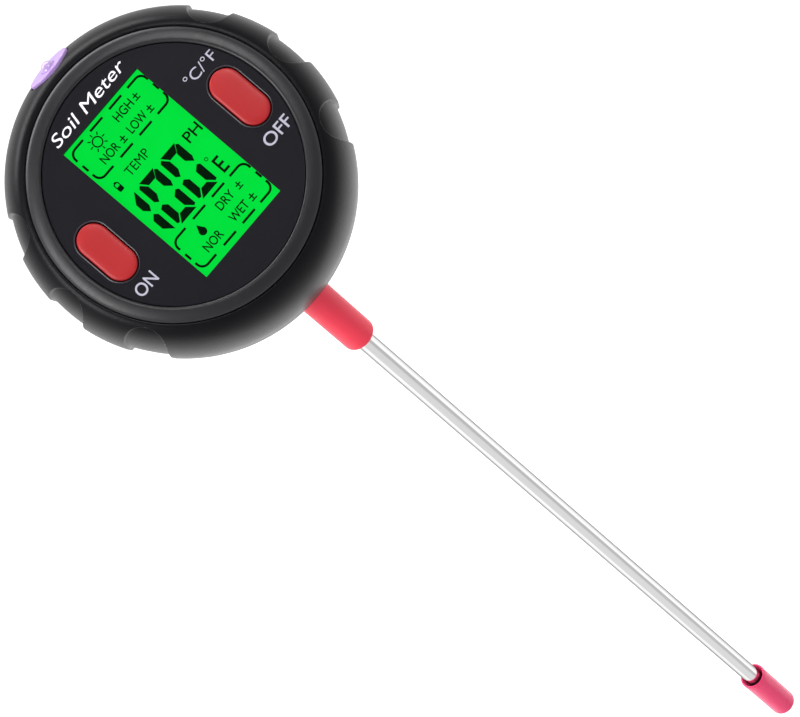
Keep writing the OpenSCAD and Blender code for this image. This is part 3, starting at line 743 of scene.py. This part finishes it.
lcd_green = Finish("lcd_green", Roughness=0.4, Specular_IOR_Level=0.02, Emission_Strength=1.0)
lcd_green.set("Base Color", (0.0, 0.05, 0.005))
lcd_green.set("Emission Color", lcd_green.blend(
    lcd_green.noise(0.009, detail=3), GLOW_DIM, GLOW_BRIGHT))
dress(lcd_green, "lcd_panel")

window_clear = Finish("window_clear", Roughness=0.08, IOR=1.35, Specular_IOR_Level=0.25)
window_clear.set("Base Color", (0.0, 0.3, 0.02))
window_clear.set("Alpha", window_clear.spread(window_clear.noise(0.004), 0, 1, 0.008, 0.02))
dress(window_clear, "display_window")

segment_ink = Finish("segment_ink", Roughness=0.5, Specular_IOR_Level=0.02)
segment_ink.set("Base Color", segment_ink.blend(
    segment_ink.noise(0.001), (0.0005, 0.002, 0.001), (0.001, 0.004, 0.002)))


def inked(name, mesh):
    return finished(thing(name, mesh), HEAD, segment_ink, "head", "lcd_glass")


def stroke(points, width):
    """The outline of a line of this width along points."""
    left, right = [], []
    for i, point in enumerate(points):
        before, after = points[max(0, i - 1)], points[min(len(points) - 1, i + 1)]
        along = (Vector(after) - Vector(before)).normalized()
        side = Vector((-along.y, along.x)) * width / 2
        left.append(tuple(Vector(point) + side))
        right.append(tuple(Vector(point) - side))
    return left + right[::-1]


def ink_of(outlines):
    return joined(*[sheet_of([outline], LCD_TOP, LCD_TOP + INK) for outline in outlines])


ZERO = {
    "top": ((-5.41, 3.83), (-1.53, 3.83), (-2.6, 2.29), (-4.37, 2.29)),
    "upper left": ((-6.12, 3.12), (-5.58, 3.54), (-4.62, 2.22), (-4.62, 0.18), (-5.44, -1.11),
                   (-6.12, -0.46)),
    "upper right": ((-1.6, 3.54), (-1.14, 3.12), (-1.14, -0.18), (-1.6, -1.11), (-2.74, 0.18),
                    (-2.74, 2.04)),
    "lower left": ((-5.51, -1.82), (-4.73, -2.61), (-4.73, -5.12), (-5.8, -6.37),
                   (-6.3, -6.19), (-6.3, -2.25)),
    "lower right": ((-1.85, -1.82), (-1.31, -2.25), (-1.31, -6.19), (-1.78, -6.37),
                    (-2.95, -4.94), (-2.95, -2.61)),
    "bottom": ((-4.62, -5.3), (-3.09, -5.3), (-1.78, -6.84), (-5.87, -6.84)),
}
ONE = (
    ((-7.04, 3.65), (-7.04, -0.1), (-7.72, -1.11), (-8.65, 0.07), (-8.65, 1.68)),
    ((-7.83, -1.72), (-7.19, -2.43), (-7.19, -6.48), (-8.79, -4.76), (-8.79, -2.61)),
)
NEXT_FIGURE = 5.96
figures = list(ONE)
for shift in (0, NEXT_FIGURE):
    figures += [[(x + shift, y) for x, y in bar] for bar in ZERO.values()]
inked("figures", ink_of(figures))

FRAME_STROKE = 0.45
FRAME_CORNER = 1.4
ARM_IN = 3.65
ARM_DOWN = 1.85
FRAMES = {
    # name: (left, right, bottom, top) of the frame's centre line
    "light_frame": (-9.54, 10.14, 9.55, 16.87),
    "water_frame": (-9.64, 10.0, -15.2, -7.83),
}
for name, (left, right, bottom, top) in FRAMES.items():
    arms = []
    for x, way_x in ((left, 1), (right, -1)):
        for y, way_y in ((top, -1), (bottom, 1)):
            bend = [(x + way_x * (FRAME_CORNER - dx), y + way_y * (FRAME_CORNER - dy))
                    for dx, dy in arc_of(FRAME_CORNER, 90, 0, 8)]
            arms.append(stroke([(x + way_x * ARM_IN, y)] + bend + [(x, y + way_y * ARM_DOWN)],
                               FRAME_STROKE))
    inked(name, ink_of(arms))


class Tree:
    """A geometry node tree with named number inputs, whose last nodes make real geometry."""

    def __init__(self, name, finish, **inputs):
        self.tree = bpy.data.node_groups.new(name, "GeometryNodeTree")
        self.keys = {}
        for label in inputs:
            kind = "NodeSocketInt" if isinstance(inputs[label], int) else "NodeSocketFloat"
            socket = self.tree.interface.new_socket(label, in_out="INPUT", socket_type=kind)
            socket.default_value = inputs[label]
            self.keys[label] = socket.identifier
        self.tree.interface.new_socket("Geometry", in_out="OUTPUT",
                                       socket_type="NodeSocketGeometry")
        self.inputs = self.tree.nodes.new("NodeGroupInput")
        self.finish = finish

    def given(self, label):
        return self.inputs.outputs[label]

    def add(self, kind, settings=None, out=0, **links):
        node = self.tree.nodes.new(kind)
        for setting, value in (settings or {}).items():
            setattr(node, setting, value)
        for socket, value in links.items():
            target = node.inputs[socket.replace("_", " ")]
            if isinstance(value, bpy.types.NodeSocket):
                self.tree.links.new(value, target)
            else:
                target.default_value = value
        return node.outputs[out]

    def grown(self, name, geometry=None, **values):
        """Ends the tree on geometry the first time, runs it, and returns a plain mesh object."""
        if geometry is not None:
            real = self.add("GeometryNodeRealizeInstances", Geometry=geometry)
            painted = self.add("GeometryNodeSetMaterial", Geometry=real,
                               Material=self.finish.material)
            end = self.tree.nodes.new("NodeGroupOutput")
            self.tree.links.new(painted, end.inputs[0])
        draft = bpy.data.objects.new("draft", bpy.data.meshes.new("draft"))
        bpy.context.scene.collection.objects.link(draft)
        modifier = draft.modifiers.new("make", "NODES")
        modifier.node_group = self.tree
        for label, value in values.items():
            modifier[self.keys[label]] = value
        bpy.context.view_layer.update()
        mesh = bpy.data.meshes.new_from_object(
            draft.evaluated_get(bpy.context.evaluated_depsgraph_get()))
        bpy.data.objects.remove(draft)
        return mesh


# A row of equal bars, for the dashes between a frame's arms.
dashes = Tree("row_of_bars", segment_ink, Count=2, Across=0.0, Along=0.0, Width=1.0, Height=1.0,
              Thick=INK)
row_step = dashes.add("ShaderNodeCombineXYZ", X=dashes.given("Across"), Y=dashes.given("Along"))
row = dashes.add("GeometryNodeMeshLine", Count=dashes.given("Count"), Offset=row_step)
bar_size = dashes.add("ShaderNodeCombineXYZ", X=dashes.given("Width"), Y=dashes.given("Height"),
                      Z=dashes.given("Thick"))
bar = dashes.add("GeometryNodeMeshCube", Size=bar_size)
row_ends = dashes.add("GeometryNodeInstanceOnPoints", Points=row, Instance=bar)
rows = []
for left, right, bottom, top in FRAMES.values():
    for y in (bottom, top):
        line = dashes.grown("dash_row", None if rows else row_ends, Count=2, Across=5.27,
                            Along=0.0, Width=3.38, Height=FRAME_STROKE, Thick=INK)
        line.transform(Matrix.Translation((-2.18, y, LCD_TOP + INK / 2)))
        rows.append(line)
    line = dashes.grown("dash_row", None, Count=2, Across=right - left, Along=0.0,
                        Width=FRAME_STROKE, Height=1.45, Thick=INK)
    line.transform(Matrix.Translation((left, (bottom + top) / 2 - 0.1, LCD_TOP + INK / 2)))
    rows.append(line)
inked("frame_dashes", joined(*rows))

# The sun: a ring with eight rays round it, over the light levels.
SUN = (-4.43, 14.62)
rays = Tree("ring_of_rays", segment_ink, Count=8, Radius=1.5, Length=0.6, Width=0.2, Thick=INK)
ring = rays.add("GeometryNodeMeshCircle", Vertices=rays.given("Count"),
                Radius=rays.given("Radius"))
ray_size = rays.add("ShaderNodeCombineXYZ", X=rays.given("Length"), Y=rays.given("Width"),
                    Z=rays.given("Thick"))
ray = rays.add("GeometryNodeMeshCube", Size=ray_size)
ray_way = rays.add("FunctionNodeAlignEulerToVector", {"axis": "X"},
                   Vector=rays.add("GeometryNodeInputPosition"))
ray_ends = rays.add("GeometryNodeInstanceOnPoints", Points=ring, Instance=ray, Rotation=ray_way)
sun_rays = rays.grown("sun_rays", ray_ends, Count=8, Radius=1.56, Length=0.62, Width=0.22,
                      Thick=INK)
sun_rays.transform(Matrix.Translation((*SUN, LCD_TOP + INK / 2)))
sun_ring = sheet_of([arc_of(1.08, 0, 350, 35, *SUN), arc_of(0.82, 0, 350, 35, *SUN)],
                    LCD_TOP, LCD_TOP + INK)
inked("sun", joined(sun_rays, sun_ring))

drop = [(-4.36, -9.0)] + [(-4.36 + 0.79 * math.sin(a), -10.62 - 0.79 * math.cos(a))
                          for a in [math.radians(d) for d in range(130, -131, -13)]]
inked("drop", ink_of([drop]))

charge_case = sheet_of([oblong(1.14, 1.9, 6.3, 0.3, -8.14), oblong(0.72, 1.5, 6.3, 0.2, -8.14)],
                       LCD_TOP, LCD_TOP + INK)
charge_level = sheet_of([oblong(0.9, 1.0, 5.9, 0.05, -8.14)], LCD_TOP, LCD_TOP + INK)
charge_stud = sheet_of([oblong(0.5, 0.3, 7.32, 0.1, -8.14)], LCD_TOP, LCD_TOP + INK)
inked("charge_sign", joined(charge_case, charge_level, charge_stud))

degree = sheet_of([arc_of(0.38, 0, 345, 23, 5.93, -2.57), arc_of(0.24, 0, 345, 23, 5.93, -2.57)],
                  LCD_TOP, LCD_TOP + INK)
inked("degree_sign", joined(degree))

READINGS = {
    # name: (words, centre, height, length)
    "high_word": ("HGH", (2.95, 14.86), 1.8, 4.4),
    "high_range": ("±", (6.34, 14.91), 1.75, 1.2),
    "normal_light_word": ("NOR", (-4.5, 11.62), 1.8, 4.3),
    "normal_light_range": ("±", (-1.01, 11.58), 1.75, 1.2),
    "low_word": ("LOW", (2.95, 11.58), 1.8, 4.4),
    "low_range": ("±", (6.34, 11.53), 1.75, 1.2),
    "temp_word": ("TEMP", (-2.6, 6.75), 1.9, 5.6),
    "ph_word": ("PH", (8.03, 2.65), 2.25, 3.65),
    "unit_word": ("E", (7.0, -5.02), 3.4, 1.6),
    "dry_word": ("DRY", (2.53, -9.91), 1.8, 3.95),
    "dry_range": ("±", (6.21, -9.91), 1.75, 1.2),
    "normal_water_word": ("NOR", (-4.46, -13.1), 1.8, 4.35),
    "wet_word": ("WET", (2.65, -13.17), 1.8, 4.3),
    "wet_range": ("±", (6.18, -13.17), 1.75, 1.3),
}
# Thicker strokes break the corners of an M, so a word that has one keeps the font's own.
WORD_WEIGHT = 0.01
words_on_glass = [lettering(words, centre, height, length, LCD_TOP, INK,
                            weight=0 if "M" in words else WORD_WEIGHT)
                  for words, centre, height, length in READINGS.values()]
inked("readings", joined(*words_on_glass))

holder_white = moulded("holder_white", (0.72, 0.72, 0.7), 0.45)
dress(holder_white, "lcd_holder")
diffuser = Finish("diffuser", Roughness=0.6)
diffuser.set("Base Color", diffuser.blend(
    diffuser.noise(0.0015, detail=3), (0.66, 0.78, 0.62), (0.78, 0.88, 0.72)))
dress(diffuser, "backlight_panel")
striped_rubber = Finish("striped_rubber", Roughness=0.65)
stripe = striped_rubber.add("ShaderNodeTexWave", {"bands_direction": "X"},
                            Vector=striped_rubber.place(), Scale=900.0, out="Fac")
striped_rubber.set("Base Color", striped_rubber.blend(stripe, (0.02, 0.02, 0.02),
                                                      (0.32, 0.34, 0.4)))
dress(striped_rubber, "zebra_strips")

# ---- Light window and photodiode ----------------------------------------------------------------
# A lilac translucent oval is set in a pocket of the rim, with the clear dome of the photodiode
# in its middle. The diode's flange and legs are behind the rim's wall.

LIGHT_T = 1.2
DIODE_R = 1.5
LIGHT = Matrix((rightward, LIGHT_UP, LIGHT_OUT)).transposed().to_4x4()
LIGHT.translation = LIGHT_AT

half_w, half_h = LIGHT_W / 2, LIGHT_H / 2
arc = (half_w ** 2 + half_h ** 2) / (2 * half_h)
spread_angle = math.degrees(math.asin((half_w - 0.45) / arc))
oval = (arc_of(arc, 90 - spread_angle, 90 + spread_angle, 30, 0, half_h - arc)
        + arc_of(arc, 270 - spread_angle, 270 + spread_angle, 30, 0, arc - half_h))
lilac = Finish("lilac", Roughness=0.28, Coat_Weight=0.3)
lilac.set("Base Color", lilac.blend(
    lilac.noise(0.004, detail=3), (0.36, 0.2, 0.56), (0.5, 0.32, 0.68)))
light_pane = sheet_of([oval, arc_of(DIODE_R + 0.05, 0, 352, 44)], 0.08 - LIGHT_T, 0.1, 0.22)
light_pane.transform(LIGHT)
finished(thing("light_pane", light_pane), HEAD, lilac, "head", "lilac_lens", "light_window")


def softened(name, node, finish, body, slot, edge=0.0, crease=32):
    """A copy of a CAD node with its edges rounded by edge, in mm, and its curves smooth."""
    build = bmesh.new()
    build.from_mesh(nodes[node].data)
    bmesh.ops.remove_doubles(build, verts=build.verts, dist=1e-7)
    bmesh.ops.dissolve_limit(build, angle_limit=math.radians(0.4), verts=build.verts,
                             edges=build.edges, use_dissolve_boundaries=False)
    if edge:
        sharp = [e for e in build.edges if len(e.link_faces) == 2
                 and e.calc_face_angle(0) > math.radians(crease)]
        bmesh.ops.bevel(build, geom=sharp, offset=edge * MM, segments=2, profile=0.5,
                        affect="EDGES", clamp_overlap=True)
    bmesh.ops.triangulate(build, faces=build.faces)
    mesh = bpy.data.meshes.new(name)
    build.to_mesh(mesh)
    build.free()
    return finished(thing(name, mesh, crease), Matrix.Identity(4), finish, body, slot, node)


diode_clear = Finish("diode_clear", Roughness=0.08, Coat_Weight=0.6)
diode_clear.set("Base Color", diode_clear.blend(
    diode_clear.noise(0.002), (0.42, 0.28, 0.6), (0.62, 0.48, 0.78)))
softened("diode", "photodiode", diode_clear, "head", "diode_lens")

# ---- Circuit board ------------------------------------------------------------------------------
# A green-masked board fills the front half of the head. It carries the chip, a few components
# and the two switches, and is held by small screws.

mask_green = Finish("mask_green", Roughness=0.35, Coat_Weight=0.3)
on_board = mask_green.place(spin=(math.radians(-40), 0, 0))
track = mask_green.add("ShaderNodeTexBrick", {}, Vector=on_board, Color1=(0, 0, 0),
                       Color2=(0.15, 0.15, 0.15), Mortar=(1, 1, 1), Scale=160.0,
                       Mortar_Size=0.06, out="Fac")
mask_green.set("Base Color", mask_green.blend(
    mask_green.spread(track, 0.4, 0.6), (0.006, 0.07, 0.028), (0.02, 0.16, 0.06)))
dress(mask_green, "main_board")
chip_black = moulded("chip_black", (0.014, 0.014, 0.015), 0.5)
dress(chip_black, "controller_chip")


def metal(name, colour, roughness, stretch=None, grain=0.0008, **fixed):
    """Bare metal with fine drawn or brushed lines."""
    finish = Finish(name, Metallic=1.0, **fixed)
    lines = finish.noise(grain, detail=3, stretch=stretch)
    darker = [c * 0.86 for c in colour]
    finish.set("Base Color", finish.blend(lines, darker, colour))
    finish.set("Roughness", roughness + (lines - 0.5) * 0.08)
    return finish


tinned = metal("tinned", (0.66, 0.64, 0.6), 0.3)
dress(tinned, "board_components")
screw_zinc = metal("screw_zinc", (0.62, 0.62, 0.64), 0.28, grain=0.0004)
dress(screw_zinc, "board_screws", "housing_screws")

# ---- Rear shell and battery door ----------------------------------------------------------------
# The rear half is moulded in the same charcoal plastic, with the battery bay, the hinge ears
# and the counterbores of its four screws. The door over the bay is held by a tab.

rear_black = moulded("rear_black", (0.012, 0.012, 0.014), 0.45, grain=0.0006, depth=0.00003)
softened("rear_shell", "rear_housing", rear_black, "head", "rear_shell", 0.22)
softened("bay_door", "battery_door", rear_black, "battery_door", "rear_shell", 0.25)
pad_foam = moulded("pad_foam", (0.03, 0.03, 0.032), 0.85, grain=0.0007, depth=0.0002)
dress(pad_foam, "door_pad")

# ---- Battery ------------------------------------------------------------------------------------
# A 9 V block in a printed metal sleeve, its studs in a vinyl snap with a red and a black lead.

block_sleeve = Finish("block_sleeve", Roughness=0.32, Metallic=0.7)
block_end = block_sleeve.spread(block_sleeve.axis("X"), 0.0115, 0.0122)
block_sleeve.set("Base Color", block_sleeve.blend(
    block_end, (0.02, 0.022, 0.03), (0.55, 0.3, 0.1)))
dress(block_sleeve, "battery")
snap_vinyl = moulded("snap_vinyl", (0.016, 0.016, 0.016), 0.5)
dress(snap_vinyl, "battery_snap")
wire_red = moulded("wire_red", (0.5, 0.01, 0.01), 0.4)
dress(wire_red, "battery_lead_red")
wire_black = moulded("wire_black", (0.01, 0.01, 0.01), 0.4)
dress(wire_black, "battery_lead_black")

# ---- Hinge --------------------------------------------------------------------------------------
# The knuckle at the top of the probe turns on a steel pin between the rear shell's ears, with
# a nylon friction washer on each side. The probe's leads pass through it.

knuckle_black = moulded("knuckle_black", (0.014, 0.014, 0.015), 0.4)
softened("knuckle", "hinge_knuckle", knuckle_black, "probe", "knuckle_plastic", 0.15)
pin_steel = metal("pin_steel", (0.68, 0.68, 0.7), 0.22, stretch=(1, 8, 8))
softened("turning_pin", "hinge_pin", pin_steel, "head", "pin_steel", 0.12)
clip_steel = metal("clip_steel", (0.35, 0.34, 0.33), 0.35)
dress(clip_steel, "pin_clip")
washer_nylon = moulded("washer_nylon", (0.7, 0.69, 0.64), 0.4)
dress(washer_nylon, "hinge_washers")
lead_yellow = moulded("lead_yellow", (0.65, 0.5, 0.05), 0.4)
dress(lead_yellow, "head_leads", "probe_leads")

# ---- Collar -------------------------------------------------------------------------------------
# A red sleeve moulded in semi-gloss plastic, slightly tapered and rounded at its lower end. It is
# pressed over the knuckle's neck and the tube's shank.

COLLAR_TOP_R = 3.5
COLLAR_END_R = 3.4
COLLAR_ROUND = 0.6
NECK_R = 2.65
NECK_DEPTH = 6

collar_low, collar_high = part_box("collar")
COLLAR_END = collar_low[2] / MM
COLLAR_TOP = collar_high[2] / MM
collar_red = moulded("collar_red", (0.98, 0.05, 0.095), 0.4, grain=0.0008, depth=0.000008,
                     Specular_IOR_Level=0.2)
end_arc = [(COLLAR_END_R - COLLAR_ROUND + x, COLLAR_END + COLLAR_ROUND + y)
           for x, y in arc_of(COLLAR_ROUND, -75, 0, 8)]
collar_shape = ([(1.72, COLLAR_TOP - NECK_DEPTH), (1.72, COLLAR_END + 0.12), (1.84, COLLAR_END)]
                + end_arc
                + [(COLLAR_TOP_R - 0.02, COLLAR_TOP - 0.15), (COLLAR_TOP_R - 0.15, COLLAR_TOP),
                   (NECK_R + 0.05, COLLAR_TOP), (NECK_R + 0.05, COLLAR_TOP - NECK_DEPTH)])
finished(thing("sleeve", turned(collar_shape, 96)), PROBE, collar_red, "probe", "collar_red",
         "collar")

# ---- Probe tube and tip -------------------------------------------------------------------------
# A polished stainless tube, drawn, with faint lengthwise lines. An insulating ring parts it
# from the bare sensing tip, which holds the thermistor in a bead of epoxy.

TUBE_R = 1.85
SHANK_R = 1.65
BORE_R = 1.45

tube_low, tube_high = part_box("probe_tube")
TUBE_LOW = tube_low[2] / MM
SHANK_TOP = tube_high[2] / MM

probe_steel = metal("probe_steel", (0.93, 0.93, 0.93), 0.07, stretch=(9, 9, 0.12), grain=0.0011)
# Painted shade: a dark edge tint darkens the steel's reflection towards its grazing edges, which
# draws dark lines along the tube.
probe_steel.set("Specular Tint", (0.12, 0.12, 0.12))
tube_shape = [(BORE_R, TUBE_LOW + 3), (BORE_R, TUBE_LOW), (TUBE_R - 0.1, TUBE_LOW),
              (TUBE_R, TUBE_LOW + 0.1), (TUBE_R, COLLAR_END - 0.1), (TUBE_R - 0.1, COLLAR_END),
              (SHANK_R, COLLAR_END), (SHANK_R, SHANK_TOP), (BORE_R, SHANK_TOP)]
finished(thing("drawn_tube", turned(tube_shape, 96)), PROBE, probe_steel, "probe",
         "probe_steel", "probe_tube")
insulator_black = moulded("insulator_black", (0.02, 0.02, 0.02), 0.45)
dress(insulator_black, "tip_insulator")
tip_metal = metal("tip_metal", (0.78, 0.76, 0.72), 0.2, stretch=(4, 4, 0.4))
softened("bare_tip", "sensing_tip", tip_metal, "probe", "tip_metal")
bead_epoxy = moulded("bead_epoxy", (0.02, 0.015, 0.01), 0.25)
dress(bead_epoxy, "thermistor")

# ---- Tip cap ------------------------------------------------------------------------------------
# A dip-moulded cap of soft pink-red vinyl slips over the tip. Its mouth is a little wider than
# the tube and its closed end is rounded.

CAP_R = 2.9
CAP_END_R = 2.8
CAP_ROUND = 1.0
MOUTH_R = 2.45
SNUG_R = 1.9
CAVITY_FLOOR = 6.7

cap_low, cap_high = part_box("tip_cap")
CAP_RIM = cap_high[2] / MM
CAP_END = cap_low[2] / MM

cap_vinyl = moulded("cap_vinyl", (0.98, 0.06, 0.19), 0.3, grain=0.003, depth=0.00006,
                    Specular_IOR_Level=0.25)
cap_foot = [(CAP_END_R - CAP_ROUND + x, CAP_END + CAP_ROUND + y)
            for x, y in arc_of(CAP_ROUND, -80, 0, 12)]
cap_shape = ([(0.001, CAP_END + 1.6), (0.001, CAP_END)] + cap_foot
             + [(CAP_R - 0.06, CAP_RIM - 1.6), (CAP_R, CAP_RIM - 0.5), (CAP_R - 0.05, CAP_RIM - 0.12),
                (CAP_R - 0.16, CAP_RIM), (MOUTH_R + 0.12, CAP_RIM), (MOUTH_R, CAP_RIM - 0.15),
                (SNUG_R, CAP_RIM - 1.6), (SNUG_R, CAP_END + CAVITY_FLOOR)])
finished(thing("slip_cap", turned(cap_shape, 96)), PROBE, cap_vinyl, "tip_cap", "cap_vinyl",
         "tip_cap")
